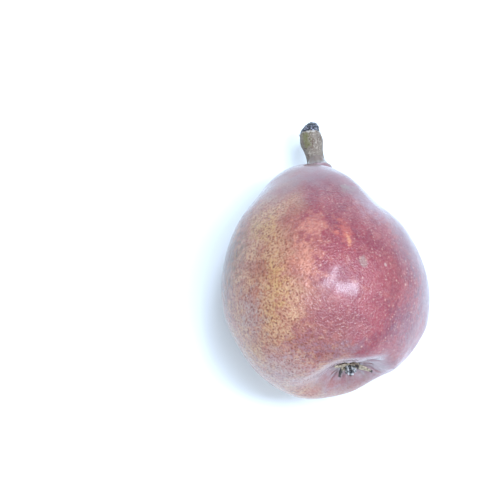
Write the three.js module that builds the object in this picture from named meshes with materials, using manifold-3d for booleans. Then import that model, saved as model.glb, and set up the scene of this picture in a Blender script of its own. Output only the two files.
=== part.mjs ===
// A squat red pear lying on its side, as it settles on a table: the fruit, its thick stem, the dried
// calyx in the basin at its base and the withered tuft of stamens inside the calyx.
// Millimetres, +Z up. The origin is the centre of the small flat spot that the pear rests on, and the
// stem points along +Y. Every piece is drawn in the pear's own frame, where Y runs up the core from the
// base to the stem, X is to the right and Z is the side that ends up on top. Angles around the core
// start at Z and grow towards X.
import * as THREE from 'three';
import { mergeVertices } from 'three/addons/utils/BufferGeometryUtils.js';
import Module from 'manifold-3d';

// The fruit: heights are above the rim of the base
const bellyRadius = 37.5;
const bellyHeight = 31;
const neckRadius = 18.7;
const neckHeight = 74;
const neckTaper = 0.68; // how fast the outline closes in at the neck
const bodyLength = 86; // to the foot of the collar round the stem
const basinRimRadius = 17;
const basinFloorRadius = 6.4;
const basinDepth = 3.9;
const collarFootRadius = 5.6;
const collarHeight = 2.2;
const collarTongue = 2; // how much higher the skin creeps up the stem on the top side
const fruitSides = 72;

// How far the outline runs straight on from a ring before it turns
const floorRun = 2.6; // outwards from the basin's floor
const innerRimRun = 5.5; // inwards from the rim
const rimRun = 5; // outwards from the rim
const underBellyRun = 16.6; // down from the belly
const overBellyRun = 23.7; // up from the belly
const underNeckRun = 6.8; // down and out from the neck
const overNeckRun = 6.9; // up and in from the neck

// What makes it lopsided
const calyxShift = 3.8; // the two ends of the core sit right of the belly's middle
const stemShift = 7.3;
const baseSlant = 0.08; // the base is askew, lower on the left
const baseLobes = 5;
const baseLobeHeight = 0.5;
const baseLobeTurn = 2.8; // radians around the core
const baseLobeRadius = 18; // of the ring where the lobes stand highest
const baseLobeSpread = 8;
const lipAcross = 4.2; // the fold of skin that hangs over the calyx: right of the core
const lipUp = 9.8; // and above it
const lipHalfWidth = 5;
const lipHalfThickness = 2.4;
const lipHeight = 1; // how far the fold stands out of the base
const lipOverhang = 0.9; // and how far it leans down over the calyx
const bellySquash = 0.015; // how much flatter the belly is from top to bottom than across
const calyxShiftFades = [8, 32]; // the radii between which each of these fades
const stemShiftFades = [5, 12];
const baseFades = [4, 16]; // the heights between which the lobes of the base fade
const slantGrows = [6, 22]; // and between which each of these grows
const swellsGrow = [7, 12];

// Broad swells (+) and hollows (-) of the skin, each placed by the direction it lies in from the
// middle of the belly: degrees around the core, then degrees up towards the stem.
const swells = [
  { around: 87, rise: 2, spread: 18, height: 0.8 },
  { around: 70, rise: 34, spread: 14, height: 0.4 },
  { around: 59, rise: 47, spread: 13, height: -1.4 },
  { around: 38, rise: 59, spread: 13, height: 2.1 },
  { around: 4, rise: 65, spread: 14, height: 1.3 },
  { around: 327, rise: 61, spread: 15, height: 0.7 },
  { around: 299, rise: 47, spread: 17, height: 1.2 },
  { around: 282, rise: 26, spread: 20, height: 0.6 },
  { around: 270, rise: 4, spread: 20, height: 0.4 },
  { around: 259, rise: -19, spread: 20, height: -0.9 },
  { around: 221, rise: -58, spread: 18, height: 0.6 },
  { around: 180, rise: -65, spread: 15, height: 1.2 },
  { around: 145, rise: -61, spread: 14, height: -1.6 },
  { around: 110, rise: -39, spread: 13, height: 1.2 },
  { around: 100, rise: -24, spread: 15, height: 2.2 },
  { around: 20, rise: 30, spread: 15, height: -0.7 },
  { around: 330, rise: -28, spread: 16, height: 0.7 },
  { around: 165, rise: 30, spread: 15, height: -0.7 },
];

// How it lies
const restTilt = THREE.MathUtils.degToRad(16); // the stem end drops towards the table
const flatSpotDepth = 0.6;

// The stem, from its root in the fruit to its knobbly head
const stemLength = 22; // above the foot of the collar
const stemRootDepth = 6;
const stemRootRadius = 2.6;
const stemWaistRadius = 3.5;
const stemWaistHeight = 7;
const stemHeadRadius = 4.3;
const stemHeadHeight = 14;
const stemScarSlant = 0.3; // how far the dead tip faces the top side
const stemLean = -0.1; // of the head, to the right
const stemTipShift = 1.7; // of the dead tip, to the right
const stemBulge = 0.06; // of the head to the left, as a share of its radius
const stemSides = 28;

// The calyx: a short dried cup with five sepals
const cupRadius = 3.3;
const cupWall = 0.8;
const cupRootDepth = 2.4; // below the floor of the basin
const cupFloorDepth = 1.5;
const cupSides = 30;
const cupRimHeight = 0.9; // above the floor of the basin
const sepalWidth = 3.6;
const sepalThickness = 0.7;
const sepalCupping = 0.09; // how much each blade is curved across
// Degrees: where each grows round the cup, how far it stands up from the basin and how far it curls.
const sepals = [
  { around: -46, length: 5.6, lift: 9, curl: 6 },
  { around: 24, length: 4, lift: 24, curl: 25 },
  { around: 102, length: 5.9, lift: 20, curl: 8 },
  { around: 178, length: 2.6, lift: 34, curl: 30 },
  { around: 262, length: 3.6, lift: 44, curl: 18 },
];

// The dried stamens
const tuftRadius = 2.1; // of the pad that the stamens stand on
const stamenCount = 9;
const stamenRadius = 0.42;
const stamenLength = 4.2; // of the middle one
const stamenShortening = 0.16; // of each one further out
const padHeight = 0.9;

// Between a piece that grew into the fruit and the walls of its socket
const socketGap = 0.3;

const wasm = await Module();
wasm.setup();

const { smoothstep, degToRad } = THREE.MathUtils;

function solidFrom(geometry) {
  const bare = geometry.clone();
  bare.deleteAttribute('normal');
  bare.deleteAttribute('uv');
  const merged = mergeVertices(bare, 1e-4);
  return new wasm.Manifold(
    new wasm.Mesh({
      numProp: 3,
      vertProperties: new Float32Array(merged.attributes.position.array),
      triVerts: new Uint32Array(merged.index.array),
    }),
  );
}

function geometryFrom(solid) {
  const mesh = solid.getMesh();
  const geometry = new THREE.BufferGeometry();
  geometry.setAttribute('position', new THREE.BufferAttribute(new Float32Array(mesh.vertProperties), 3));
  geometry.setIndex(new THREE.BufferAttribute(new Uint32Array(mesh.triVerts), 1));
  geometry.computeVertexNormals();
  return geometry;
}

function fuse(geometries) {
  return geometryFrom(geometries.map(solidFrom).reduce((whole, next) => whole.add(next)));
}

// Moves every vertex of a geometry by a rule that changes the point it is given.
function reshape(geometry, rule) {
  const position = geometry.attributes.position;
  const point = new THREE.Vector3();
  for (let i = 0; i < position.count; i++) {
    rule(point.fromBufferAttribute(position, i));
    position.setXYZ(i, point.x, point.y, point.z);
  }
  return geometry;
}

// The unit vector at an angle around the core and an angle up towards the stem.
function towards(around, rise) {
  const level = Math.cos(degToRad(rise));
  return new THREE.Vector3(
    level * Math.sin(degToRad(around)),
    Math.sin(degToRad(rise)),
    level * Math.cos(degToRad(around)),
  );
}

function bezier(points, divisions) {
  const [a, b, c, d] = points.map(([radius, height]) => new THREE.Vector2(radius, height));
  return new THREE.CubicBezierCurve(a, b, c, d).getPoints(divisions);
}

// The outline from the floor of the calyx socket, over the basin, the belly and the neck, down into the
// socket of the stem. X is the radius and Y the height.
function fruitOutline() {
  const calyxSocketRadius = cupRadius + socketGap;
  const calyxSocketFloor = basinDepth + cupRootDepth + socketGap;
  const stemSocketRadius = stemWaistRadius + socketGap;
  const stemSocketFloor = bodyLength - stemRootDepth - socketGap;
  const collarTop = bodyLength + collarHeight;

  const basin = [
    [calyxSocketRadius, basinDepth],
    [basinFloorRadius + floorRun, basinDepth],
    [basinRimRadius - innerRimRun, 0],
    [basinRimRadius, 0],
  ];
  const base = [
    [basinRimRadius, 0],
    [basinRimRadius + rimRun, 0],
    [bellyRadius, bellyHeight - underBellyRun],
    [bellyRadius, bellyHeight],
  ];
  const shoulder = [
    [bellyRadius, bellyHeight],
    [bellyRadius, bellyHeight + overBellyRun],
    [neckRadius + neckTaper * underNeckRun, neckHeight - underNeckRun],
    [neckRadius, neckHeight],
  ];
  const neck = [
    [neckRadius, neckHeight],
    [neckRadius - neckTaper * overNeckRun, neckHeight + overNeckRun],
    [collarFootRadius + 0.1, bodyLength - 0.3],
    [collarFootRadius, bodyLength],
  ];
  const collar = [
    [collarFootRadius, bodyLength],
    [collarFootRadius - 0.9, bodyLength + 0.4],
    [stemSocketRadius + 0.7, collarTop - 0.8],
    [stemSocketRadius + 0.5, collarTop],
  ];
  return [
    new THREE.Vector2(0, calyxSocketFloor),
    new THREE.Vector2(calyxSocketRadius, calyxSocketFloor),
    ...bezier(basin, 8),
    ...bezier(base, 14).slice(1),
    ...bezier(shoulder, 14).slice(1),
    ...bezier(neck, 6).slice(1),
    ...bezier(collar, 4).slice(1),
    new THREE.Vector2(stemSocketRadius, collarTop),
    new THREE.Vector2(stemSocketRadius, stemSocketFloor),
    new THREE.Vector2(0, stemSocketFloor),
  ];
}

// Real pears are lopsided: the core's two ends sit right of the belly's middle, the base is askew and
// bulges in soft lobes, the belly is a little flatter from top to bottom, and the skin swells and sinks.
function growLopsided(point) {
  const { x, y, z } = point;
  const radius = Math.hypot(x, z);
  const around = Math.atan2(x, z);
  const lowerHalf = y < bellyHeight;
  const nearCalyx = lowerHalf ? 1 - smoothstep(radius, ...calyxShiftFades) : 0;
  const nearStem = lowerHalf ? 0 : 1 - smoothstep(radius, ...stemShiftFades);
  const offRim = (radius - baseLobeRadius) / baseLobeSpread;
  const onRim = Math.exp(-(offRim ** 2)) * (1 - smoothstep(y, ...baseFades));
  const low = (1 - smoothstep(y, 0, bellyHeight)) * smoothstep(radius, ...slantGrows);
  const onCollar = smoothstep(y, bodyLength + 0.3, bodyLength + collarHeight);
  const topSide = Math.max(0, Math.cos(around)) ** 2;
  point.x += calyxShift * nearCalyx + stemShift * nearStem;
  point.y += baseSlant * x * low - baseLobeHeight * onRim * Math.cos(baseLobes * (around - baseLobeTurn));
  point.y += collarTongue * onCollar * topSide;
  point.z *= 1 - bellySquash * smoothstep(radius, 0.5 * bellyRadius, bellyRadius);

  const offLip = Math.hypot((point.x - lipAcross) / lipHalfWidth, (point.z - lipUp) / lipHalfThickness);
  const onLip = lowerHalf ? Math.exp(-(offLip ** 2)) : 0;
  point.y -= lipHeight * onLip;
  point.z -= lipOverhang * onLip;

  const away = smoothstep(radius, ...swellsGrow);
  const outward = new THREE.Vector3(point.x, point.y - bellyHeight, point.z).normalize();
  for (const swell of swells) {
    const angle = outward.angleTo(towards(swell.around, swell.rise));
    const share = Math.exp(-((angle / degToRad(swell.spread)) ** 2));
    point.addScaledVector(outward, swell.height * share * away);
  }
}

function makeFruit() {
  return reshape(new THREE.LatheGeometry(fruitOutline(), fruitSides), growLopsided);
}

// The stem's outline, from the end of its root up to the scar, with heights above the collar's foot.
function stemOutline() {
  return [
    new THREE.Vector2(0, -stemRootDepth),
    new THREE.Vector2(stemRootRadius, -stemRootDepth),
    ...new THREE.SplineCurve([
      new THREE.Vector2(stemRootRadius + 0.2, -stemRootDepth + 0.5),
      new THREE.Vector2(stemWaistRadius, 0),
      new THREE.Vector2(stemWaistRadius, stemWaistHeight),
      new THREE.Vector2(stemHeadRadius - 0.3, stemHeadHeight - 3),
      new THREE.Vector2(stemHeadRadius, stemHeadHeight),
      new THREE.Vector2(stemHeadRadius - 0.7, stemLength - 4.4),
      new THREE.Vector2(stemHeadRadius - 1.2, stemLength - 2.8),
      new THREE.Vector2(stemHeadRadius - 2.3, stemLength - 1.2),
    ]).getPoints(20),
    new THREE.Vector2(stemHeadRadius - 3.2, stemLength - 0.4),
    new THREE.Vector2(0, stemLength),
  ];
}

// The head is knobbly: it bulges to the left, its dead tip is askew and its sides have soft flutes.
function growKnobbly(point) {
  const { x, y, z } = point;
  const radius = Math.hypot(x, z);
  const around = Math.atan2(x, z);
  const upHead = smoothstep(y, stemWaistHeight - 1, stemHeadHeight);
  const upScar = smoothstep(y, stemHeadHeight, stemLength - 1);
  const leftSide = Math.max(0, -Math.sin(around));
  const flutes = 0.05 * Math.cos(3 * around + 0.9) + 0.03 * Math.cos(5 * around - 0.12 * y);
  const swell = 1 + upHead * (flutes + stemBulge * leftSide * (1 - upScar));
  point.x = x * swell + stemLean * upHead + stemTipShift * smoothstep(y, stemHeadHeight + 3, stemLength);
  point.z = z * swell;
  point.y = y - upScar * (stemScarSlant * z + 0.12 * radius * Math.cos(2 * around - 1.2));
}

function makeStem() {
  const geometry = reshape(new THREE.LatheGeometry(stemOutline(), stemSides), growKnobbly);
  return geometryFrom(solidFrom(geometry)).translate(stemShift, bodyLength, 0);
}

// One sepal: a narrow pointed blade that leaves the cup's rim at an angle and curls along its length.
function makeSepal({ around, length, lift, curl }) {
  const blade = new THREE.BoxGeometry(sepalWidth, sepalThickness, length, 6, 1, 8);
  reshape(blade, (point) => {
    const along = point.z / length + 0.5;
    const waist = 0.75 + 0.25 * Math.sin(Math.PI * Math.min(1, 1.6 * along));
    const across = point.x * waist * (1 - 0.85 * along ** 2);
    const bend = degToRad(lift + curl * along);
    const reach = along * length;
    const cup = sepalCupping * across ** 2;
    const face = point.y - cup;
    point.x = across;
    point.y = face * Math.cos(bend) - reach * Math.sin(bend);
    point.z = face * Math.sin(bend) + reach * Math.cos(bend);
  });
  blade.translate(0, 0, cupRadius - 0.75 * cupWall);
  return blade.rotateY(degToRad(around));
}

function makeCup() {
  const outer = cupRadius;
  const inner = cupRadius - cupWall;
  const outline = [
    [0, cupRootDepth],
    [outer, cupRootDepth],
    [outer, -cupRimHeight + 0.3],
    [outer - 0.2, -cupRimHeight],
    [inner + 0.1, -cupRimHeight],
    [inner, -cupRimHeight + 0.3],
    [inner, cupFloorDepth],
    [0, cupFloorDepth],
  ].map(([radius, height]) => new THREE.Vector2(radius, height));
  return new THREE.LatheGeometry(outline.reverse(), cupSides);
}

function makeCalyx() {
  const blades = sepals.map((sepal) => makeSepal(sepal).translate(0, -cupRimHeight + 0.45, 0));
  return fuse([makeCup(), ...blades]).translate(calyxShift, basinDepth, 0);
}

// The tuft: a low pad on the floor of the cup with short bowed stamens that lean apart.
function makeStamen(index) {
  const turn = index * 2.4; // the golden angle, in radians, spreads them evenly
  const offset = 0.52 * Math.sqrt(index);
  const length = stamenLength - stamenShortening * index;
  const stamen = new THREE.CapsuleGeometry(stamenRadius, length, 3, 8, 5);
  stamen.translate(0, -length / 2, 0);
  reshape(stamen, (point) => {
    const along = -point.y / length;
    point.x += 0.35 * Math.sin(Math.PI * along) * Math.cos(5 * turn);
    point.z += offset * (1 + 0.3 * along);
  });
  return stamen.rotateY(turn);
}

function makeStamens() {
  const floor = cupFloorDepth - socketGap;
  const pad = new THREE.CylinderGeometry(tuftRadius, 0.8 * tuftRadius, padHeight, 20);
  pad.translate(0, floor - padHeight / 2, 0);
  const stamens = Array.from({ length: stamenCount }, (_, index) =>
    makeStamen(index).translate(0, floor - padHeight + stamenRadius, 0),
  );
  return fuse([pad, ...stamens]).translate(calyxShift, basinDepth, 0);
}

// A named piece with a plain material of its own.
function makePiece(name, geometry, color, roughness) {
  const piece = new THREE.Mesh(geometry, new THREE.MeshStandardMaterial({ color, roughness, metalness: 0 }));
  piece.name = name;
  return piece;
}

const fruit = makePiece('fruit', makeFruit(), 0xb05a5c, 0.42);
const stem = makePiece('stem', makeStem(), 0x7d7466, 0.7);
const calyx = makePiece('calyx', makeCalyx(), 0xb9a68c, 0.85);
const stamens = makePiece('stamens', makeStamens(), 0x3c3d45, 0.8);

const lyingPear = new THREE.Group();
lyingPear.add(fruit, stem, calyx, stamens);
lyingPear.rotation.x = -restTilt;

// Drops the pear onto the table at z = 0, trims the fruit to a flat spot there and centres that spot.
function settleOnTable() {
  const box = new THREE.Box3();
  lyingPear.updateMatrixWorld(true);
  box.setFromObject(lyingPear, true);
  lyingPear.position.z = -box.min.z - flatSpotDepth;
  lyingPear.updateMatrixWorld(true);

  const size = 4 * bodyLength;
  const table = new THREE.BoxGeometry(size, size, size).translate(0, 0, -size / 2);
  table.applyMatrix4(lyingPear.matrixWorld.clone().invert());
  fruit.geometry = geometryFrom(solidFrom(fruit.geometry).subtract(solidFrom(table)));

  const spot = new THREE.Box3();
  const point = new THREE.Vector3();
  const position = fruit.geometry.attributes.position;
  for (let i = 0; i < position.count; i++) {
    point.fromBufferAttribute(position, i).applyMatrix4(lyingPear.matrixWorld);
    if (point.z < 1e-3) spot.expandByPoint(point);
  }
  spot.getCenter(point);
  lyingPear.position.x -= point.x;
  lyingPear.position.y -= point.y;
}

settleOnTable();

const pear = new THREE.Group();
pear.add(lyingPear);
export default pear;
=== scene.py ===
import math
import random

import bpy
from mathutils import Matrix, Vector, noise


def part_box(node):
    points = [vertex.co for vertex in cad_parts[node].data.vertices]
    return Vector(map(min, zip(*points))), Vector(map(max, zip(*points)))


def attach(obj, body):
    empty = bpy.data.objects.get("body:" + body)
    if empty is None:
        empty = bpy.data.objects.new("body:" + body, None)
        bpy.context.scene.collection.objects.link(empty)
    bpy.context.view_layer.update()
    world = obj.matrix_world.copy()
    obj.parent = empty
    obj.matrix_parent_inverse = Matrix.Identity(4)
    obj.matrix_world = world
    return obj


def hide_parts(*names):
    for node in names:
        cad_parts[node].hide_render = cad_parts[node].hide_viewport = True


# A squat red pear lying on white paper, seen from almost straight above.
# Every piece is made in the pear's own frame in millimetres: y runs up the core from the base to the
# stem, x is to the right and z is the side that lies on top. Angles around the core start at z.

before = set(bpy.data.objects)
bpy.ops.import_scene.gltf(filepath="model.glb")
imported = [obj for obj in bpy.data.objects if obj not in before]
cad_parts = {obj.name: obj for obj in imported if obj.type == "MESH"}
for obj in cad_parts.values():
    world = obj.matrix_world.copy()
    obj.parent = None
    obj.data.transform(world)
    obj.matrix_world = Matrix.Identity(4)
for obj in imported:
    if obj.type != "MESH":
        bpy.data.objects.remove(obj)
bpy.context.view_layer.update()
mm = 0.001


# Helpers for shapes
def smoothStep(value, low, high):
    t = min(1, max(0, (value - low) / (high - low)))
    return t * t * (3 - 2 * t)


def bell(value, middle, width):  # 1 in the middle, and it dies away on both sides
    return math.exp(-(((value - middle) / width) ** 2))


def direction(around, rise):
    a, r = math.radians(around), math.radians(rise)
    return Vector((math.cos(r) * math.sin(a), math.sin(r), math.cos(r) * math.cos(a)))


def curve(a, b, c, d, steps):  # a bent stretch of an outline, without its last point
    stretch = []
    for i in range(steps):
        t = i / steps
        s = 1 - t
        stretch.append(tuple(
            s * s * s * a[k] + 3 * s * s * t * b[k] + 3 * s * t * t * c[k] + t * t * t * d[k] for k in (0, 1)
        ))
    return stretch


def throughPoints(points, steps):  # a smooth line through all the points
    line = []
    for i in range(steps + 1):
        place = i / steps * (len(points) - 1)
        k = min(int(place), len(points) - 2)
        t = place - k
        p = [points[min(max(k + j, 0), len(points) - 1)] for j in (-1, 0, 1, 2)]
        line.append(tuple(
            p[1][n] + 0.5 * t * (p[2][n] - p[0][n])
            + t * t * (p[0][n] - 2.5 * p[1][n] + 2 * p[2][n] - 0.5 * p[3][n])
            + t * t * t * (1.5 * p[1][n] - 0.5 * p[0][n] - 1.5 * p[2][n] + 0.5 * p[3][n]) for n in (0, 1)
        ))
    return line


def turned(outline, sides, grow):  # a ring of points for each outline point, closed at both ends
    points, rings = [], []
    for radius, height in outline:
        count = 1 if radius < 1e-6 else sides
        rings.append(range(len(points), len(points) + count))
        for side in range(count):
            around = 2 * math.pi * side / sides
            p = Vector((radius * math.sin(around), height, radius * math.cos(around)))
            points.append(grow(p, around))
    faces = []
    for low, high in zip(rings, rings[1:]):
        for side in range(sides):
            after = (side + 1) % sides
            if len(low) == 1:
                faces.append((low[0], high[side], high[after]))
            elif len(high) == 1:
                faces.append((low[side], high[0], low[after]))
            else:
                faces.append((low[side], high[side], high[after], low[after]))
    return points, faces


def gather(parts):  # several closed forms as one list of points and faces
    points, faces = [], []
    for partPoints, partFaces in parts:
        faces += [tuple(k + len(points) for k in face) for face in partFaces]
        points += partPoints
    return points, faces


def makePiece(name, points, faces, shift=Vector()):  # laid down on the table, in metres
    mesh = bpy.data.meshes.new(name)
    mesh.from_pydata([(lying @ (p + shift)) * mm for p in points], [], faces)
    mesh.validate()
    mesh.polygons.foreach_set("use_smooth", [True] * len(mesh.polygons))
    piece = bpy.data.objects.new(name, mesh)
    bpy.context.collection.objects.link(piece)
    return piece


# Helpers for materials
def colour(code):  # "rrggbb" as seen on a screen
    parts = [int(code[k:k + 2], 16) / 255 for k in (0, 2, 4)]
    return [c / 12.92 if c <= 0.04045 else ((c + 0.055) / 1.055) ** 2.4 for c in parts] + [1]


def fill(tree, node, inputs):  # links each input that comes from a node and sets the others
    for key, value in inputs.items():
        if isinstance(value, bpy.types.NodeSocket):
            tree.links.new(value, node.inputs[key])
        else:
            node.inputs[key].default_value = value


def add(tree, kind, inputs=None, **settings):
    node = tree.nodes.new(kind)
    for name, value in settings.items():
        setattr(node, name, value)
    fill(tree, node, inputs or {})
    return node


def use(tree, group, **inputs):
    return add(tree, "ShaderNodeGroup", inputs, node_tree=group).outputs[0]


def sums(tree, operation, a, b=0.0, c=0.0):
    return add(tree, "ShaderNodeMath", {0: a, 1: b, 2: c}, operation=operation).outputs[0]


def vectors(tree, operation, a, b=(0, 0, 0)):
    return add(tree, "ShaderNodeVectorMath", {0: a, 1: b}, operation=operation).outputs


def spread(tree, value, span, results=(0.0, 1.0), soft=True):  # runs between two results over a span
    return add(tree, "ShaderNodeMapRange", {
        "Value": value, "From Min": span[0], "From Max": span[1], "To Min": results[0], "To Max": results[1],
    }, interpolation_type="SMOOTHSTEP" if soft else "LINEAR").outputs["Result"]


def mixed(tree, share, under, over):
    return add(tree, "ShaderNodeMix", {0: share, 6: under, 7: over}, data_type="RGBA").outputs[2]


def painted(tree, under, mask, strength, code):  # a colour laid over another where a mask says
    return mixed(tree, sums(tree, "MULTIPLY", mask, strength), under, colour(code))


def cloud(tree, place, size, detail=2.0, stretch=(1, 1, 1)):  # soft noise with blobs of a size in mm
    moved = vectors(tree, "MULTIPLY", place, stretch)[0]
    noisy = add(tree, "ShaderNodeTexNoise", {"Vector": moved, "Scale": 1 / size, "Detail": detail})
    return noisy.outputs["Fac"]


def bumped(tree, shader, heights, strength, relief):  # the relief is in mm
    bump = add(tree, "ShaderNodeBump", {"Height": heights, "Strength": strength, "Distance": relief * mm})
    tree.links.new(bump.outputs["Normal"], shader.inputs["Normal"])


def startGroup(name, wanted, given):
    group = bpy.data.node_groups.new(name, "ShaderNodeTree")
    for label, kind, value in wanted:
        socket = group.interface.new_socket(label, in_out="INPUT", socket_type="NodeSocket" + kind)
        socket.default_value = value
    for label, kind in given:
        group.interface.new_socket(label, in_out="OUTPUT", socket_type="NodeSocket" + kind)
    return group, add(group, "NodeGroupInput").outputs, add(group, "NodeGroupOutput").inputs


# Speckles: small dots with ragged edges, one in a share of the cells
def makeSpeckles():
    group, wanted, given = startGroup("Speckles", [
        ("Place", "Vector", (0, 0, 0)), ("Apart", "Float", 1.2), ("Size", "Float", 0.35),
        ("Share", "Float", 0.7),
    ], [("Mask", "Float")])
    wobble = add(group, "ShaderNodeTexNoise", {"Vector": wanted["Place"], "Scale": 1.3, "Detail": 1.0})
    shaken = add(group, "ShaderNodeVectorMath", {
        0: wobble.outputs["Color"], 1: (0.7, 0.7, 0.7), 2: wanted["Place"],
    }, operation="MULTIPLY_ADD").outputs[0]
    rate = sums(group, "DIVIDE", 1.0, wanted["Apart"])
    scaled = add(group, "ShaderNodeVectorMath", {0: shaken, "Scale": rate}, operation="SCALE").outputs[0]
    cells = add(group, "ShaderNodeTexVoronoi", {"Vector": scaled, "Scale": 1.0}).outputs
    lot = add(group, "ShaderNodeSeparateColor", {0: cells["Color"]}).outputs  # drawn anew for each cell
    size = sums(group, "MULTIPLY", wanted["Size"], sums(group, "MULTIPLY_ADD", lot[1], 0.8, 0.6))
    edge = sums(group, "MULTIPLY", size, 0.55)
    dot = spread(group, cells["Distance"], (edge, size), (1.0, 0.0), False)
    kept = sums(group, "LESS_THAN", lot[0], wanted["Share"])
    group.links.new(sums(group, "MULTIPLY", dot, kept), given["Mask"])
    return group


# Patch: a soft blotch at a place, as long as its reach in each direction
def makePatch():
    group, wanted, given = startGroup("Patch", [
        ("Place", "Vector", (0, 0, 0)), ("Middle", "Vector", (0, 0, 0)), ("Reach", "Vector", (5, 5, 5)),
        ("Ragged", "Float", 0.3), ("Softness", "Float", 0.5),
    ], [("Mask", "Float")])
    away = vectors(group, "SUBTRACT", wanted["Place"], wanted["Middle"])[0]
    length = vectors(group, "LENGTH", vectors(group, "DIVIDE", away, wanted["Reach"])[0])["Value"]
    rough = add(group, "ShaderNodeTexNoise", {"Vector": wanted["Place"], "Scale": 0.45, "Detail": 3.0})
    off = sums(group, "MULTIPLY", sums(group, "SUBTRACT", rough.outputs["Fac"], 0.5), wanted["Ragged"])
    far = sums(group, "MULTIPLY_ADD", off, 2.0, length)
    inside = sums(group, "SUBTRACT", 1.0, wanted["Softness"])
    group.links.new(spread(group, far, (inside, 1.0), (1.0, 0.0)), given["Mask"])
    return group


speckles, patch = makeSpeckles(), makePatch()


def startMaterial(name):
    material = bpy.data.materials.new(name)
    material.use_nodes = True
    tree = material.node_tree
    place = add(tree, "ShaderNodeMapping", {  # where a point lies on the upright pear, in millimetres
        "Vector": add(tree, "ShaderNodeTexCoord").outputs["Object"], "Location": drop * mm,
        "Rotation": (math.radians(-fruit["tilt"]), 0, 0), "Scale": (mm, mm, mm),
    }, vector_type="TEXTURE").outputs[0]
    return material, tree, tree.nodes["Principled BSDF"], place


# The fruit
fruit = {
    # the outline, in mm
    "bellyRadius": 37.5, "bellyHeight": 31, "neckRadius": 18.7, "neckHeight": 74, "neckTaper": 0.68,
    "bodyLength": 86, "basinRimRadius": 17, "basinFloorRadius": 6.4, "basinDepth": 3.9,
    "calyxSocket": (3.6, 6.6), "stemSocket": (3.8, 79.7),  # radius, and height of the floor
    "collarFootRadius": 5.6, "collarHeight": 2.2, "collarTongue": 2, "collarEdge": 0.5,
    "collarBends": ((0.1, -0.3), (-0.9, 0.4), (0.7, -0.8)),
    "floorRun": 2.6, "lipRun": 5.5, "rimRun": 5, "underBellyRun": 16.6, "overBellyRun": 23.7,
    "underNeckRun": 6.8, "overNeckRun": 6.9,
    "plainSteps": (8, 14, 14, 6, 4), "plainSides": 72, "plainLip": 3.8,  # as in the plain solid
    "fineSteps": (34, 80, 90, 66, 14), "sides": 320, "fineLip": 3.4,
    # how it grew lopsided
    "calyxShift": 3.8, "calyxPull": (8, 32),  # mm to the right, and the radii where that dies away
    "stemShift": 7.3, "stemPull": (5, 12),
    "baseSlant": 0.08, "slantFrom": (6, 22), "bellySquash": 0.015, "swellsFrom": (7, 12),
    "lobes": (5, 0.5, 2.8, 18, 8), "lobesEnd": (4, 16),  # how many, height, turn, ring and its spread
    "lip": (4.2, 9.8, 5, 2.4, 1, 0.9),  # right, up, half width, half thickness, height and overhang
    "tilt": 16,  # degrees that the stem end drops towards the table
    # the fine relief, in mm
    "dents": 0.12, "dentPitches": (0.07, 0.21), "smallDents": 0.35, "dentsFrom": (4, 9),
    "ribs": 0.12, "ribPitch": (7, 0.012), "ribsFrom": (14, 26),
    "creases": 21, "creaseTurn": 7, "creaseWidth": (2.5, 5), "creaseDepth": (0.25, 0.7),
    "creaseReach": (9, 16), "gathers": (0.12, 9),
    # the looks
    "tones": {
        "shade": "b68c6c", "shadeWarm": "a87460",  # the side that saw less sun
        "blush": "8a3e4a", "blushDeep": "7a3042", "blushPale": "9c5856",  # and the side that saw more
        # Among the tones below, the dark olive brown at the end of the next line is painted shade for the
        # upper left side, the dark purple on the line after it is painted shade for the right flank, and the
        # greyish lavenders there are partly the waxy bloom and partly a painted reflection of the bright
        # room.
        "gold": "ba9458", "salmon": "c6846e", "wine": "742a36", "brown": "7c4c3e", "paintedLeftShade": "54381e",
        "lavender": "a08a86", "veil": "786c78", "rose": "7c4450", "dusk": "583c56", "lilac": "9c8a96",
        "orange": "b25a50", "ember": "d4946c", "russet": "8c7670", "greyGreen": "7c7068",
        "paleSpot": "b09890", "darkDots": "6e3428", "paleDots": "c8a090", "network": "8a4636",
        "bloomAndSheen": "7a5c62", "bloomPinkAndSheen": "804a54",  # the smooth waxy skin near the stem and the base; its grey-lavender is partly a painted reflection of the bright room
        "collar": "7c7068", "crease": "988a88",
    },
    "sunSide": (0.9, 0.0, 0.44), "blushFrom": (10, 26),  # mm towards the sun
    "smoothFrom": (63, 75), "smoothRight": (8.0, 0.9),  # mm up the core, and more on the right shoulder
    "smoothRound": (3.8, 0, 0), "smoothTo": (13, 26),  # the middle of the basin and mm from it
    "smoothShare": 0.8, "creasesTo": (6, 15), "collarFrom": (85.9, 86.9),
    "darkNetwork": 0.55, "paleNetwork": 0.12,
    "darkSpeckles": ((1.0, 0.42, 0.85, 0.7), (1.9, 0.24, 0.6, 0.6)),  # apart, size, share and strength
    "paleSpeckles": ((1.3, 0.28, 0.6, 0.35), (3.2, 0.12, 0.3, 0.5)),
    "roughness": (0.17, 0.26), "relief": 0.5,
    "surface": {
        "IOR": 1.43, "Coat Weight": 0.4, "Coat Roughness": 0.16, "Sheen Weight": 0.04,
        "Sheen Roughness": 0.4, "Sheen Tint": colour("d4dcf8"),
    },
}
swells = [  # (degrees around, degrees up, spread in degrees, height in mm)
    (87, 2, 18, 0.8), (70, 34, 14, 0.4), (59, 47, 13, -1.4), (38, 59, 13, 2.1), (4, 65, 14, 1.3),
    (327, 61, 15, 0.7), (299, 47, 17, 1.2), (282, 26, 20, 0.6), (270, 4, 20, 0.4), (259, -19, 20, -0.9),
    (221, -58, 18, 0.6), (180, -65, 15, 1.2), (145, -61, 14, -1.6), (110, -39, 13, 1.2),
    (100, -24, 15, 2.2), (20, 30, 15, -0.7), (330, -28, 16, 0.7), (165, 30, 15, -0.7),
]
swellPlaces = [(direction(a, r), math.radians(s), h) for a, r, s, h in swells]


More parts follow.
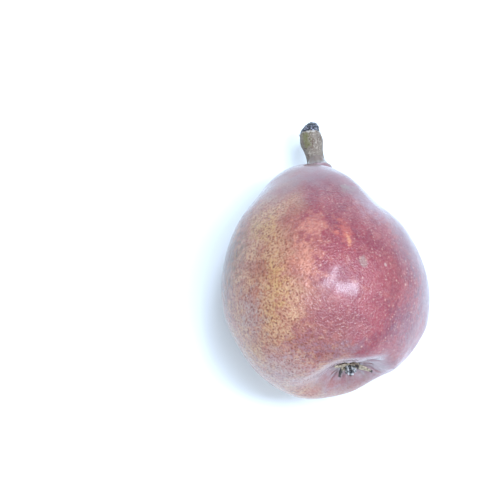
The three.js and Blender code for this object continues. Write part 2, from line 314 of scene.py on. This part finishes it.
def fruitOutline(basinSteps, baseSteps, shoulderSteps, neckSteps, collarSteps, lip):
    f = fruit
    socketRadius = f["calyxSocket"][0]
    belly, neck = (f["bellyRadius"], f["bellyHeight"]), (f["neckRadius"], f["neckHeight"])
    rim, foot = (f["basinRimRadius"], 0), (f["collarFootRadius"], f["bodyLength"])
    collarTop = f["bodyLength"] + f["collarHeight"]
    underFoot, overFoot, underTop = f["collarBends"]
    outline = [(0, f["calyxSocket"][1]), (socketRadius, f["calyxSocket"][1])]
    outline += curve((socketRadius, f["basinDepth"]),
                     (f["basinFloorRadius"] + f["floorRun"], f["basinDepth"]),
                     (rim[0] - f["lipRun"], 0), rim, basinSteps)
    outline += curve(rim, (rim[0] + f["rimRun"], 0),
                     (belly[0], belly[1] - f["underBellyRun"]), belly, baseSteps)
    outline += curve(belly, (belly[0], belly[1] + f["overBellyRun"]),
                     (neck[0] + f["neckTaper"] * f["underNeckRun"], neck[1] - f["underNeckRun"]),
                     neck, shoulderSteps)
    outline += curve(neck, (neck[0] - f["neckTaper"] * f["overNeckRun"], neck[1] + f["overNeckRun"]),
                     (foot[0] + underFoot[0], foot[1] + underFoot[1]), foot, neckSteps)
    outline += curve(foot, (foot[0] + overFoot[0], foot[1] + overFoot[1]),
                     (lip + underTop[0], collarTop + underTop[1]),
                     (lip + f["collarEdge"], collarTop), collarSteps)
    outline += [(lip + f["collarEdge"], collarTop), (lip, collarTop)]
    outline += [f["stemSocket"], (0, f["stemSocket"][1])]
    return outline


def growLopsided(p, around):
    f = fruit
    x, y, z = p
    radius = math.hypot(x, z)
    below = y < f["bellyHeight"]
    nearCalyx = 1 - smoothStep(radius, *f["calyxPull"]) if below else 0
    nearStem = 0 if below else 1 - smoothStep(radius, *f["stemPull"])
    count, height, turn, ring, ringSpread = f["lobes"]
    onRim = bell(radius, ring, ringSpread) * (1 - smoothStep(y, *f["lobesEnd"]))
    low = (1 - smoothStep(y, 0, f["bellyHeight"])) * smoothStep(radius, *f["slantFrom"])
    onCollar = smoothStep(y, f["bodyLength"] + 0.3, f["bodyLength"] + f["collarHeight"])
    topSide = max(0, math.cos(around)) ** 2
    point = Vector((
        x + f["calyxShift"] * nearCalyx + f["stemShift"] * nearStem,
        y + f["baseSlant"] * x * low - height * onRim * math.cos(count * (around - turn))
        + f["collarTongue"] * onCollar * topSide,
        z * (1 - f["bellySquash"] * smoothStep(radius, 0.5 * f["bellyRadius"], f["bellyRadius"])),
    ))
    lipRight, lipUp, halfWidth, halfThickness, lipHeight, overhang = f["lip"]
    if below:  # a fold of skin hangs over the calyx from the top side
        onLip = bell(point.x, lipRight, halfWidth) * bell(point.z, lipUp, halfThickness)
        point += Vector((0, -lipHeight, -overhang)) * onLip
    away = smoothStep(radius, *f["swellsFrom"])
    if away > 0:
        outward = Vector((point.x, point.y - f["bellyHeight"], point.z)).normalized()
        rise = 0
        for place, width, swell in swellPlaces:
            rise += swell * bell(math.acos(max(-1, min(1, outward.dot(place)))), 0, width)
        point += outward * (rise * away)
    return point


chance = random.Random(5)
creases = [  # (degrees around, half width in degrees, depth in mm, reach in mm from the calyx)
    (360 * i / fruit["creases"] + chance.uniform(-fruit["creaseTurn"], fruit["creaseTurn"]),
     chance.uniform(*fruit["creaseWidth"]), chance.uniform(*fruit["creaseDepth"]),
     chance.uniform(*fruit["creaseReach"]))
    for i in range(fruit["creases"])
]


def growFine(p, around):
    f = fruit
    point = growLopsided(p, around)
    radius = math.hypot(p.x, p.z)
    outward = Vector((point.x, point.y - f["bellyHeight"], point.z)).normalized()
    wide, narrow = f["dentPitches"]
    dent = noise.noise(point * wide) + f["smallDents"] * noise.noise(point * narrow)
    point += outward * (f["dents"] * smoothStep(radius, *f["dentsFrom"]) * dent)
    across, upwards = f["ribPitch"]
    rib = noise.noise(Vector((across * math.sin(around), across * math.cos(around), upwards * point.y)))
    point += outward * (f["ribs"] * rib * smoothStep(radius, *f["ribsFrom"]))
    if p.y < 8 and radius < 18:  # the skin is drawn together round the calyx
        degrees = math.degrees(around)
        for place, width, depth, reach in creases:
            bend = 4 * noise.noise(Vector((radius * 0.3, place, 0)))
            off = (degrees - place + bend + 180) % 360 - 180
            fade = smoothStep(radius, 4, 6) * (1 - smoothStep(radius, 0.5 * reach, reach))
            point.y += depth * fade * bell(off, 0, width)
    if p.y > f["bodyLength"] - 4 and radius > f["fineLip"]:  # and gathered round the stem
        depth, count = f["gathers"]
        fade = smoothStep(p.y, f["bodyLength"] - 2, f["bodyLength"] + 1)
        point.x += depth * fade * math.sin(around) * math.cos(count * around + 1)
        point.z += depth * fade * math.cos(around) * math.cos(count * around + 1)
    return point


# The pear is tipped and dropped so that its plain form fills the box of the solid
tip = Matrix.Rotation(math.radians(-fruit["tilt"]), 4, "X")
boxLow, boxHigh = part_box("fruit")
plainOutline = fruitOutline(*fruit["plainSteps"], fruit["plainLip"])
plain = [tip @ p for p in turned(plainOutline, fruit["plainSides"], growLopsided)[0]]
spans = [(min(p[k] for p in plain), max(p[k] for p in plain)) for k in (0, 1, 2)]
drop = Vector((
    (boxLow.x + boxHigh.x) / 2 / mm - sum(spans[0]) / 2,
    (boxLow.y + boxHigh.y) / 2 / mm - sum(spans[1]) / 2,
    boxHigh.z / mm - spans[2][1],
))
lying = Matrix.Translation(drop) @ tip
print("the pear lies", [round(v, 2) for v in drop])

points, faces = turned(fruitOutline(*fruit["fineSteps"], fruit["fineLip"]), fruit["sides"], growFine)
upright = lying.inverted()
for i, point in enumerate(points):  # the flat spot it rests on
    placed = lying @ point
    if placed.z < 0:
        placed.z = 0
        points[i] = upright @ placed
skin = makePiece("skin", points, faces)
print("fruit:", len(skin.data.polygons), "faces")


# Blotches: (tone, middle and reach in mm, strength, how ragged, how soft)
sunBlotches = [
    ("gold", (-20, 50, 27), (9, 10, 13), 0.6, 1.2, 0.9),
    ("gold", (-18.5, 27, 32), (5, 11, 10), 0.6, 1.3, 0.9),
    ("gold", (-32, 45, 15), (6, 12, 12), 0.7, 1.2, 0.9),
    ("gold", (-23, 17, 26), (6, 8, 8), 0.4, 1.3, 0.9),
    ("brown", (-23, 32, 29.5), (4.5, 6, 7), 0.4, 1.3, 0.9),
    # painted shade: dark olive brown laid over the upper left side
    ("paintedLeftShade", (-36, 48, 10), (22, 26, 26), 0.95, 0.8, 0.9),
    # grey-lavender low on the left flank: partly the waxy bloom, partly a painted reflection of the bright
    # room
    ("lavender", (-28, 21, 20), (8, 12, 13), 0.75, 1.1, 0.9),
    ("gold", (-30, 10, 9), (6, 7, 9), 0.35, 1.2, 0.9),
    ("salmon", (-8, 30, 36), (8, 12, 9), 0.75, 1.2, 1.0),
    ("salmon", (-3, 43, 35), (10, 8, 9), 0.6, 1.2, 1.0),
    ("wine", (-7.5, 12.5, 30), (6, 8, 7), 0.45, 1.2, 0.9),
    ("wine", (21, 24, 28.5), (8, 15, 12), 0.35, 1.0, 1.0),
    # pale grey-lavender along the right flank: partly the waxy bloom, partly a painted reflection of the
    # bright room
    ("veil", (37, 26, 8), (11, 34, 26), 0.75, 0.7, 0.9),
    ("wine", (27, 34, 20), (12, 30, 20), 0.35, 1.0, 1.0),
    # painted shade: dark purple laid over the lower right flank
    ("dusk", (26, 8, 17), (18, 16, 14), 0.5, 0.9, 1.0),
    ("rose", (-10, 5, 24), (14, 10, 13), 0.85, 0.9, 0.9),
    ("rose", (2, 7, 26), (13, 10, 10), 0.6, 0.9, 0.9),
    ("wine", (-1, 11, 30), (14, 9, 9), 0.65, 0.9, 1.0),
    # greyish lilac round the base: partly the waxy bloom, partly a painted reflection of the bright room
    ("lilac", (-19, 2, 13), (20, 10, 18), 0.55, 0.6, 1.0),
    ("lilac", (5, 1, -12), (20, 6, 14), 0.5, 0.9, 1.0),
    ("orange", (7.8, 39, 35.2), (4, 8, 7), 0.7, 1.3, 1.0),
]
topBlotches = [  # these lie over the smooth waxy skin and its painted sheen
    ("ember", (8.3, 36, 35.8), (1.2, 3.6, 4), 0.6, 1.3, 1.0),
    ("greyGreen", (13, 61.2, 25.6), (4.6, 3, 5), 0.6, 1.3, 0.9),
    ("collar", (7.8, 87.4, 0), (10, 4.2, 9), 1.0, 0.2, 0.3),
    # greyish lilac on the right shoulder: partly the waxy bloom, partly a painted reflection of the bright
    # room
    ("lilac", (21, 51, 24), (10, 10, 12), 0.5, 0.9, 1.0),
    # painted shade: dark purple laid over the right flank
    ("dusk", (30, 37, 17), (13, 20, 17), 0.5, 0.9, 1.0),
    ("rose", (5, 70, 20), (12, 8, 12), 0.35, 0.8, 0.9),
    # darker brown on the upper left shoulder: partly the skin's own brown, partly painted shade
    ("brown", (-23, 59, 15), (8, 9, 14), 0.65, 0.9, 1.0),
    # grey-lavender on the lip over the calyx: partly the waxy bloom, partly a painted reflection of the
    # bright room
    ("veil", (1, 2, 21), (13, 5, 5), 0.5, 0.8, 0.9),
    # greyish lilac at the base: partly the waxy bloom, partly a painted reflection of the bright room
    ("lilac", (5, 3, 0), (17, 9, 16), 0.45, 0.9, 1.0),
    ("rose", (-6, 1.5, 19), (11, 5, 6), 0.6, 0.6, 0.9),
    ("russet", (11.6, 27.1, 34.8), (1.9, 2.3, 4), 0.7, 0.7, 0.5),
    ("paleSpot", (19.3, 26.2, 31.1), (0.7, 0.9, 2), 0.7, 0.6, 0.6),
]


def blotched(tree, place, ground, blotches):
    for tone, middle, reach, strength, ragged, softness in blotches:
        blotch = use(tree, patch, Place=place, Middle=middle, Reach=reach, Ragged=ragged, Softness=softness)
        ground = painted(tree, ground, blotch, strength, fruit["tones"][tone])
    return ground


def makeSkin():
    f, tones = fruit, fruit["tones"]
    material, tree, shader, place = startMaterial("pearSkin")
    xyz = add(tree, "ShaderNodeSeparateXYZ", {0: place}).outputs

    sunny = vectors(tree, "DOT_PRODUCT", place, f["sunSide"])["Value"]
    blush = spread(tree, sums(tree, "MULTIPLY_ADD", cloud(tree, place, 14, 3), 22.0, sunny), f["blushFrom"])
    warm = spread(tree, cloud(tree, place, 6, 3), (0.4, 0.62))
    shade = mixed(tree, warm, colour(tones["shade"]), colour(tones["shadeWarm"]))
    deep = spread(tree, cloud(tree, place, 8, 3, (1, 0.6, 1)), (0.42, 0.62))
    red = mixed(tree, deep, colour(tones["blush"]), colour(tones["blushDeep"]))
    red = painted(tree, red, spread(tree, cloud(tree, place, 4, 3), (0.5, 0.7)), 0.5, tones["blushPale"])
    ground = blotched(tree, place, mixed(tree, blush, shade, red), sunBlotches)

    # the smooth skin round the stem, in the basin and on the right shoulder; its grey-lavender tone is partly
    # the waxy bloom and partly a painted reflection of the bright room
    rightOf, slope = f["smoothRight"]
    right = sums(tree, "MAXIMUM", sums(tree, "SUBTRACT", xyz[0], rightOf), 0.0)
    height = sums(tree, "MULTIPLY_ADD", cloud(tree, place, 8, 3), 12.0, xyz[1])
    patchy = sums(tree, "MULTIPLY_ADD", cloud(tree, place, 11, 2), 12.0, -6.0)
    upTo = sums(tree, "ADD", sums(tree, "MULTIPLY_ADD", right, slope, height), patchy)
    nearStem = spread(tree, upTo, f["smoothFrom"])
    fromCalyx = vectors(tree, "DISTANCE", place, f["smoothRound"])["Value"]
    outTo = sums(tree, "MULTIPLY_ADD", cloud(tree, place, 6, 2), 8.0, fromCalyx)
    smooth = sums(tree, "MAXIMUM", nearStem, spread(tree, outTo, f["smoothTo"], (1.0, 0.0)))
    pinkMottle = spread(tree, cloud(tree, place, 5, 3), (0.38, 0.68))
    waxAndSheen = mixed(tree, pinkMottle, colour(tones["bloomAndSheen"]), colour(tones["bloomPinkAndSheen"]))
    ground = mixed(tree, sums(tree, "MULTIPLY", smooth, f["smoothShare"]), ground, waxAndSheen)

    # pale creases that run out from the calyx, and the collar of skin that turns woody
    level = vectors(tree, "MULTIPLY", place, (1, 0, 1))[0]
    outwards = vectors(tree, "SUBTRACT", level, (f["calyxShift"], 0, 0))[0]
    rays = cloud(tree, vectors(tree, "NORMALIZE", outwards)[0], 0.24, 2)
    inBasin = spread(tree, fromCalyx, f["creasesTo"], (1.0, 0.0))
    ground = painted(tree, ground, spread(tree, rays, (0.46, 0.66), (0.0, 0.55)), inBasin, tones["crease"])
    collarHeight = sums(tree, "MULTIPLY_ADD", cloud(tree, place, 2, 3), 1.6, xyz[1])
    ground = mixed(tree, spread(tree, collarHeight, f["collarFrom"]), ground, colour(tones["collar"]))
    ground = blotched(tree, place, ground, topBlotches)

    # a fine network and speckles: dark on the pale side, pale on the red side
    rough = sums(tree, "SUBTRACT", 1.0, sums(tree, "MULTIPLY", smooth, 0.75))
    notRed = sums(tree, "SUBTRACT", 1.0, sums(tree, "MULTIPLY", blush, 0.75))
    paleSide = sums(tree, "MULTIPLY", notRed, rough)
    redSide = sums(tree, "MULTIPLY", sums(tree, "MULTIPLY_ADD", blush, 0.6, 0.4), rough)
    grain = cloud(tree, place, 0.75, 2)
    darkNet = spread(tree, grain, (0.42, 0.62), (0.0, f["darkNetwork"]))
    ground = painted(tree, ground, darkNet, paleSide, tones["network"])
    paleNet = spread(tree, grain, (0.6, 0.36), (0.0, f["paleNetwork"]))
    ground = painted(tree, ground, paleNet, redSide, tones["paleDots"])
    for kinds, where, tone in (("darkSpeckles", paleSide, "darkDots"), ("paleSpeckles", redSide, "paleDots")):
        for apart, size, share, strength in f[kinds]:
            dots = use(tree, speckles, Place=place, Apart=apart, Size=size, Share=share)
            ground = painted(tree, ground, sums(tree, "MULTIPLY", dots, strength), where, tones[tone])

    uneven = spread(tree, cloud(tree, place, 5, 3), (0.3, 0.7), f["roughness"])
    fill(tree, shader, {"Base Color": ground, "Roughness": uneven, **f["surface"]})
    bumped(tree, shader, sums(tree, "MULTIPLY", grain, rough), 1.0, f["relief"])
    return material


# The stem
stem = {
    "length": 22, "rootDepth": 6, "rootRadius": 2.6, "waistHeight": 7, "headHeight": 14,
    "outline": [
        (2.8, -5.5), (3.55, 0), (3.5, 7), (4.05, 11), (4.3, 14), (3.6, 17.6), (3.05, 19.2), (1.9, 20.8),
    ],
    "top": [(0.9, 21.6), (0.6, 21.8), (0.3, 21.93), (0, 22)],
    "scarSlant": 0.3, "lean": -0.1, "tipShift": 1.7, "bulge": 0.06,
    "sides": 180, "rings": 190,
    "bark": 0.1,  # mm, roughness of the bark in the mesh
    "crumple": 0.5, "deadFrom": (5.2, 4.2),  # mm, how deeply the dead top is shrivelled, and how far down
    "ridge": 0.3, "ridgeDrop": 5.4, "ridgeWidth": 0.5,  # mm, how the bark stands up round the dead top
    "tones": {
        "tan": "7c7064", "brown": "5c483a", "pale": "a09488", "olive": "66643a", "skin": "7c6c66",
        # the pale grey-blue on the next line is a painted glint for the dead top
        "dead": "1c1c26", "paintedCapGlint": "a8a8b8", "fleck": "4a3428", "ridge": "bcb4ac",
    },
    "oliveAt": (-2.4, 12, 3.2), "oliveReach": (2.8, 5, 3.4),
    "deadEdge": (18.1, 18.6), "ridgeEdge": (17.2, 18.0),  # mm up the stem, where their colours start
    "roughness": (0.7, 0.34),  # of the bark and of the dead top
    "relief": 0.6,
}


def growKnobbly(p, around):
    s = stem
    x, y, z = p
    radius = math.hypot(x, z)
    upHead = smoothStep(y, s["waistHeight"] - 1, s["headHeight"])
    upScar = smoothStep(y, s["headHeight"], s["length"] - 1)
    flutes = 0.05 * math.cos(3 * around + 0.9) + 0.03 * math.cos(5 * around - 0.12 * y)
    swell = 1 + upHead * (flutes + s["bulge"] * max(0, -math.sin(around)) * (1 - upScar))
    point = Vector((
        x * swell + s["lean"] * upHead + s["tipShift"] * smoothStep(y, s["headHeight"] + 3, s["length"]),
        y - upScar * (s["scarSlant"] * z + 0.12 * radius * math.cos(2 * around - 1.2)),
        z * swell,
    ))
    if y < -1:  # the root stays plain, in its socket
        return point
    out = Vector((x, 0, z)).normalized() if radius > 1e-6 else Vector((0, 1, 0))
    bark = noise.noise(Vector((x * 0.9, y * 0.35, z * 0.9)))
    bark += 0.6 * noise.noise(Vector((x * 2, y * 0.8, z * 2)))
    point += out * (s["bark"] * bark)
    slanted = y + s["scarSlant"] * z
    onRidge = bell(slanted - s["length"] + s["ridgeDrop"], 0, s["ridgeWidth"])
    point += out * (s["ridge"] * (onRidge * (1 + 1.5 * noise.noise(point * 0.9))))
    dead = smoothStep(slanted, s["length"] - s["deadFrom"][0], s["length"] - s["deadFrom"][1])
    shrivel = noise.turbulence(point * 0.55, 3, True)
    point += out * (-s["crumple"] * dead * (shrivel - 0.6) * min(1, radius))
    point.y -= s["crumple"] * dead * noise.noise(point * 0.8) * min(1, radius)
    return point


outline = [(0, -stem["rootDepth"]), (stem["rootRadius"], -stem["rootDepth"])]
outline += throughPoints(stem["outline"], stem["rings"]) + stem["top"]
points, faces = turned(outline, stem["sides"], growKnobbly)
wood = makePiece("stemWood", points, faces, Vector((fruit["stemShift"], fruit["bodyLength"], 0)))
print("stem:", len(faces), "faces")


def makeStemWood():
    s, tones = stem, stem["tones"]
    material, tree, shader, place = startMaterial("stemBark")
    local = vectors(tree, "SUBTRACT", place, (fruit["stemShift"], fruit["bodyLength"], 0))[0]
    xyz = add(tree, "ShaderNodeSeparateXYZ", {0: local}).outputs
    streaks = cloud(tree, place, 0.9, 4, (1, 0.35, 1))
    bark = mixed(tree, spread(tree, streaks, (0.48, 0.62), (0.0, 0.75)),
                 colour(tones["tan"]), colour(tones["brown"]))
    worn = spread(tree, cloud(tree, place, 0.8, 3), (0.5, 0.66), (0.0, 0.8))
    bark = mixed(tree, worn, bark, colour(tones["pale"]))
    olive = use(tree, patch, Place=local, Middle=s["oliveAt"], Reach=s["oliveReach"],
                Ragged=1.2, Softness=0.8)
    bark = painted(tree, bark, olive, 0.8, tones["olive"])
    foot = spread(tree, sums(tree, "MULTIPLY_ADD", streaks, 4.0, xyz[1]), (3.2, 6.5), (0.8, 0.0))
    bark = mixed(tree, foot, bark, colour(tones["skin"]))
    flecks = use(tree, speckles, Place=place, Apart=0.9, Size=0.36, Share=0.6)
    bark = painted(tree, bark, flecks, 0.7, tones["fleck"])

    scarHeight = sums(tree, "MULTIPLY_ADD", xyz[2], s["scarSlant"], xyz[1])
    scarEdge = sums(tree, "MULTIPLY_ADD", cloud(tree, place, 1.6, 3), 3.0, scarHeight)
    broken = spread(tree, cloud(tree, place, 1.1), (0.4, 0.55))
    ridge = sums(tree, "MULTIPLY", spread(tree, scarEdge, s["ridgeEdge"]), broken)
    bark = painted(tree, bark, ridge, 0.8, tones["ridge"])
    # painted glints: pale grey-blue flecks on the dark dead top stand in for its highlights
    paintedCapGlints = spread(tree, cloud(tree, place, 0.7, 2), (0.57, 0.64))
    dead = spread(tree, scarEdge, s["deadEdge"])
    bark = mixed(tree, dead, bark, mixed(tree, paintedCapGlints, colour(tones["dead"]), colour(tones["paintedCapGlint"])))
    worn = spread(tree, dead, (0, 1), s["roughness"], False)
    fill(tree, shader, {"Base Color": bark, "Roughness": worn})
    heights = sums(tree, "MULTIPLY_ADD", cloud(tree, place, 0.5, 3), 0.8, streaks)
    bumped(tree, shader, heights, 0.8, s["relief"])
    return material


# The calyx
calyx = {
    "cupRadius": 3.3, "cupWall": 0.8, "rootDepth": 2.4, "floorDepth": 1.5, "rimHeight": 0.9,
    "width": 3.6, "thickness": 0.7, "cupping": 0.09,
    "taper": 0.85, "midrib": 0.1,  # how much the blades narrow, and mm that the midrib stands out
    "crinkle": 0.12,  # mm, how much the dried blades and the cup's edge are crinkled
    "tones": {"blade": "b8a890", "fibres": "6e6254", "tip": "3a3433"},
    "tipFrom": (0.9, 1.15),  # share of the way to a blade's end
    "roughness": 0.75, "relief": 0.3,
}
sepals = [  # (degrees around, length, degrees it stands up, degrees it curls, how withered it is)
    (-46, 5.6, 9, 6, -0.3), (24, 4, 24, 25, 0.2), (102, 5.9, 20, 8, 0), (178, 2.6, 34, 30, 0.3),
    (262, 3.6, 44, 18, 0.6),
]


def sepalPoints(around, length, lift, curl, withered, across=14, along=30):
    points, faces, share = [], [], []
    turn = Matrix.Rotation(math.radians(around), 3, "Y")
    for face in (-1, 1):
        for j in range(along + 1):
            v = j / along
            bend = math.radians(lift + curl * v)
            full = 0.75 + 0.25 * math.sin(math.pi * min(1, 1.6 * v))
            half = 0.5 * calyx["width"] * full * (1 - calyx["taper"] * v * v)
            for i in range(across + 1):
                u = 2 * i / across - 1
                edge = 1 - 0.6 * abs(u) ** 5
                x = u * half * (1 + 0.05 * math.sin(9 * v + around))
                wave = calyx["crinkle"] * math.sin(5 * u + around) * math.sin(6 * v + 0.1 * around) * v
                rib = calyx["midrib"] * bell(u, 0, 0.2) * (face < 0)
                y = face * 0.5 * calyx["thickness"] * edge - rib - calyx["cupping"] * x * x + wave
                z = v * length
                p = Vector((x, y * math.cos(bend) - z * math.sin(bend),
                            y * math.sin(bend) + z * math.cos(bend)))
                p.z += calyx["cupRadius"] - 0.75 * calyx["cupWall"]
                p = turn @ p
                p.y += 0.45 - calyx["rimHeight"]
                points.append(p)
                share.append(v + withered)
    row, sheet = across + 1, (across + 1) * (along + 1)
    for j in range(along):
        for i in range(across):
            a = j * row + i
            faces.append((a, a + 1, a + row + 1, a + row))
            faces.append((a + sheet, a + row + sheet, a + row + 1 + sheet, a + 1 + sheet))
        for i in (0, across):
            a = j * row + i
            wall = (a, a + row, a + row + sheet, a + sheet)
            faces.append(wall if i == 0 else wall[::-1])
    for i in range(across):
        for j in (0, along):
            a = j * row + i
            wall = (a, a + sheet, a + 1 + sheet, a + 1)
            faces.append(wall if j == 0 else wall[::-1])
    return points, faces, share


def crinkleEdge(p, around):
    crinkled = calyx["crinkle"] * noise.noise(Vector((3 * math.sin(around), 3 * math.cos(around), 0)))
    return p + Vector((0, crinkled * (p.y < 0), 0))


inBasin = Vector((fruit["calyxShift"], fruit["basinDepth"], 0))
outer, inner = calyx["cupRadius"], calyx["cupRadius"] - calyx["cupWall"]
rim, floor, root = -calyx["rimHeight"], calyx["floorDepth"], calyx["rootDepth"]
cup = turned([
    (0, floor), (inner, floor), (inner, rim + 0.3), (inner + 0.1, rim), (outer - 0.2, rim),
    (outer, rim + 0.3), (outer, 0.5 * root), (outer, root), (0, root),
], 90, crinkleEdge)
blades = [sepalPoints(*sepal) for sepal in sepals]
points, faces = gather([cup] + [blade[:2] for blade in blades])
driedCalyx = makePiece("driedCalyx", points, faces, inBasin)
tipShare = driedCalyx.data.attributes.new("towardsTip", "FLOAT", "POINT")
tipShare.data.foreach_set("value", [0.0] * len(cup[0]) + [v for blade in blades for v in blade[2]])
print("calyx:", len(faces), "faces")


def makeDriedCalyx():
    tones = calyx["tones"]
    material, tree, shader, place = startMaterial("driedSepals")
    along = add(tree, "ShaderNodeAttribute", attribute_name="towardsTip").outputs["Fac"]
    fibres = cloud(tree, place, 0.6, 4, (1, 0.4, 1))
    blade = mixed(tree, spread(tree, fibres, (0.4, 0.65)), colour(tones["blade"]), colour(tones["fibres"]))
    tipMask = spread(tree, sums(tree, "MULTIPLY_ADD", fibres, 0.4, along), calyx["tipFrom"])
    blade = mixed(tree, tipMask, blade, colour(tones["tip"]))
    fill(tree, shader, {"Base Color": blade, "Roughness": calyx["roughness"]})
    bumped(tree, shader, fibres, 0.6, calyx["relief"])
    return material


# The stamens
tuft = {
    "count": 9, "threadRadius": 0.42, "length": 4.2, "shortening": 0.16,
    "padHeight": 0.9, "floor": 1.2,
    "pad": [(0, 0.3), (1, 0.3), (1.8, 0.35), (2.1, 0.5), (2, 0.8), (1.68, 1.2), (0, 1.2)],
    "lumps": 0.12,  # mm, how uneven the pad is
    # the pale grey on the next line is painted glints on the dried stamens
    "dark": "34363c", "paintedTuftGlint": "b4b4b6", "paintedTuftGlintFrom": (0.4, 0.54), "roughness": 0.4, "relief": 0.2,
}


def stamenPoints(index):
    turn, offset = index * 2.4, 0.52 * math.sqrt(index)
    r, length = tuft["threadRadius"], tuft["length"] - tuft["shortening"] * index
    outline = [(0, -length - r), (0.6 * r, -length - 0.8 * r), (r, -length)]
    outline += [(r * (0.8 if 5 < k < 17 else 1.05), -length + length * k / 18) for k in range(1, 18)]
    outline += [(r, 0), (0.6 * r, 0.8 * r), (0, r)]

    def bow(p, around):
        along = -p.y / length
        shrunk = 1 + 0.18 * noise.noise(p * 3 + Vector((index, 0, 0)))
        q = Vector((p.x * shrunk + 0.35 * math.sin(math.pi * along) * math.cos(5 * turn), p.y,
                    p.z * shrunk + offset * (1 + 0.3 * along)))
        return Matrix.Rotation(turn, 3, "Y") @ q + Vector((0, tuft["floor"] - tuft["padHeight"] + r, 0))

    return turned(outline, 16, bow)


def padPoint(p, around):
    lump = tuft["lumps"] * noise.noise(p * 1.7) if p.y < tuft["padHeight"] else 0
    return p + Vector((0, lump, 0))


pad = turned(tuft["pad"], 40, padPoint)
points, faces = gather([pad] + [stamenPoints(i) for i in range(tuft["count"])])
driedTuft = makePiece("driedTuft", points, faces, inBasin)
print("stamens:", len(faces), "faces")


def makeDriedTuft():
    material, tree, shader, place = startMaterial("driedStamens")
    # painted glints: pale grey patches on the dark stamens stand in for their highlights
    paintedTuftGlints = spread(tree, cloud(tree, place, 0.8, 2), tuft["paintedTuftGlintFrom"])
    fill(tree, shader, {
        "Base Color": mixed(tree, paintedTuftGlints, colour(tuft["dark"]), colour(tuft["paintedTuftGlint"])),
        "Roughness": tuft["roughness"],
    })
    bumped(tree, shader, cloud(tree, place, 0.3, 2), 0.6, tuft["relief"])
    return material


for piece, node, slotName, make in (
    (skin, "fruit", "skin", makeSkin), (wood, "stem", "stem_wood", makeStemWood),
    (driedCalyx, "calyx", "dried_calyx", makeDriedCalyx),
    (driedTuft, "stamens", "dried_stamens", makeDriedTuft),
):
    piece.data.materials.append(make())
    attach(piece, "root")
    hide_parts(node)
print("materials are on")


# Paper, light and camera
studio = {
    "paper": (0.80, 0.855, 0.88), "paperSize": 3, "paperRoughness": 0.9,
    "roomBright": (0.98, 1.08, 1.2), "roomDim": (0.34, 0.39, 0.46),  # the soft light all round
    "brightSide": (0.2, -0.98, 0), "sideFade": (-0.8, 0.6),
    "overhead": 1.7, "horizon": 0.18, "riseFade": (0.0, 0.95),  # how strong it is above and low down
    "windows": [  # (towards, power in watts, size in metres)
        ((0.13, 0.18, 0.97), 3.9, (0.17, 0.42)), ((0.36, -0.1, 0.928), 6.0, (0.17, 0.42)),
    ],
    "windowColour": (0.84, 0.98, 1.18), "windowFar": 0.9, "windowAim": (0, 0, 0.036),
}
bpy.ops.mesh.primitive_plane_add(size=studio["paperSize"])
paper = bpy.context.object
paper.name = "paper"
whitePaper = bpy.data.materials.new("whitePaper")
whitePaper.use_nodes = True
fill(whitePaper.node_tree, whitePaper.node_tree.nodes["Principled BSDF"], {
    "Base Color": [*studio["paper"], 1], "Roughness": studio["paperRoughness"],
})
paper.data.materials.append(whitePaper)

world = bpy.data.worlds.new("softRoom")
world.use_nodes = True
room = world.node_tree
facing = add(room, "ShaderNodeTexCoord").outputs["Generated"]
side = vectors(room, "DOT_PRODUCT", facing, studio["brightSide"])["Value"]
rise = add(room, "ShaderNodeSeparateXYZ", {0: facing}).outputs[2]
fill(room, room.nodes["Background"], {
    "Color": mixed(room, spread(room, side, studio["sideFade"]),
                   [*studio["roomDim"], 1], [*studio["roomBright"], 1]),
    "Strength": spread(room, rise, studio["riseFade"], (studio["horizon"], studio["overhead"])),
})
bpy.context.scene.world = world

for number, (towards, power, size) in enumerate(studio["windows"]):
    window = bpy.data.objects.new(f"window{number}", bpy.data.lights.new(f"window{number}", "AREA"))
    bpy.context.collection.objects.link(window)
    window.data.shape = "RECTANGLE"
    window.data.size, window.data.size_y = size
    window.data.energy = power
    window.data.color = studio["windowColour"]
    towards = Vector(towards).normalized()
    window.location = towards * studio["windowFar"] + Vector(studio["windowAim"])
    window.rotation_euler = towards.to_track_quat("Z", "Y").to_euler()

shot = {"azimuth": -8.94, "elevation": 78.42, "far": 0.42, "angle": 24.08, "at": (-0.02639, 0.02243, 0.036)}
a, e = math.radians(shot["azimuth"]), math.radians(shot["elevation"])
towardsCamera = Vector((math.sin(a) * math.cos(e), -math.cos(a) * math.cos(e), math.sin(e)))
camera = bpy.data.objects.new("camera", bpy.data.cameras.new("camera"))
bpy.context.collection.objects.link(camera)
camera.location = Vector(shot["at"]) + towardsCamera * shot["far"]
camera.rotation_euler = towardsCamera.to_track_quat("Z", "Y").to_euler()
camera.data.sensor_fit = "HORIZONTAL"
camera.data.angle = math.radians(shot["angle"])
camera.data.clip_start = 0.01
bpy.context.scene.camera = camera
bpy.context.scene.view_settings.view_transform = "Standard"
print("paper, light and camera are set")
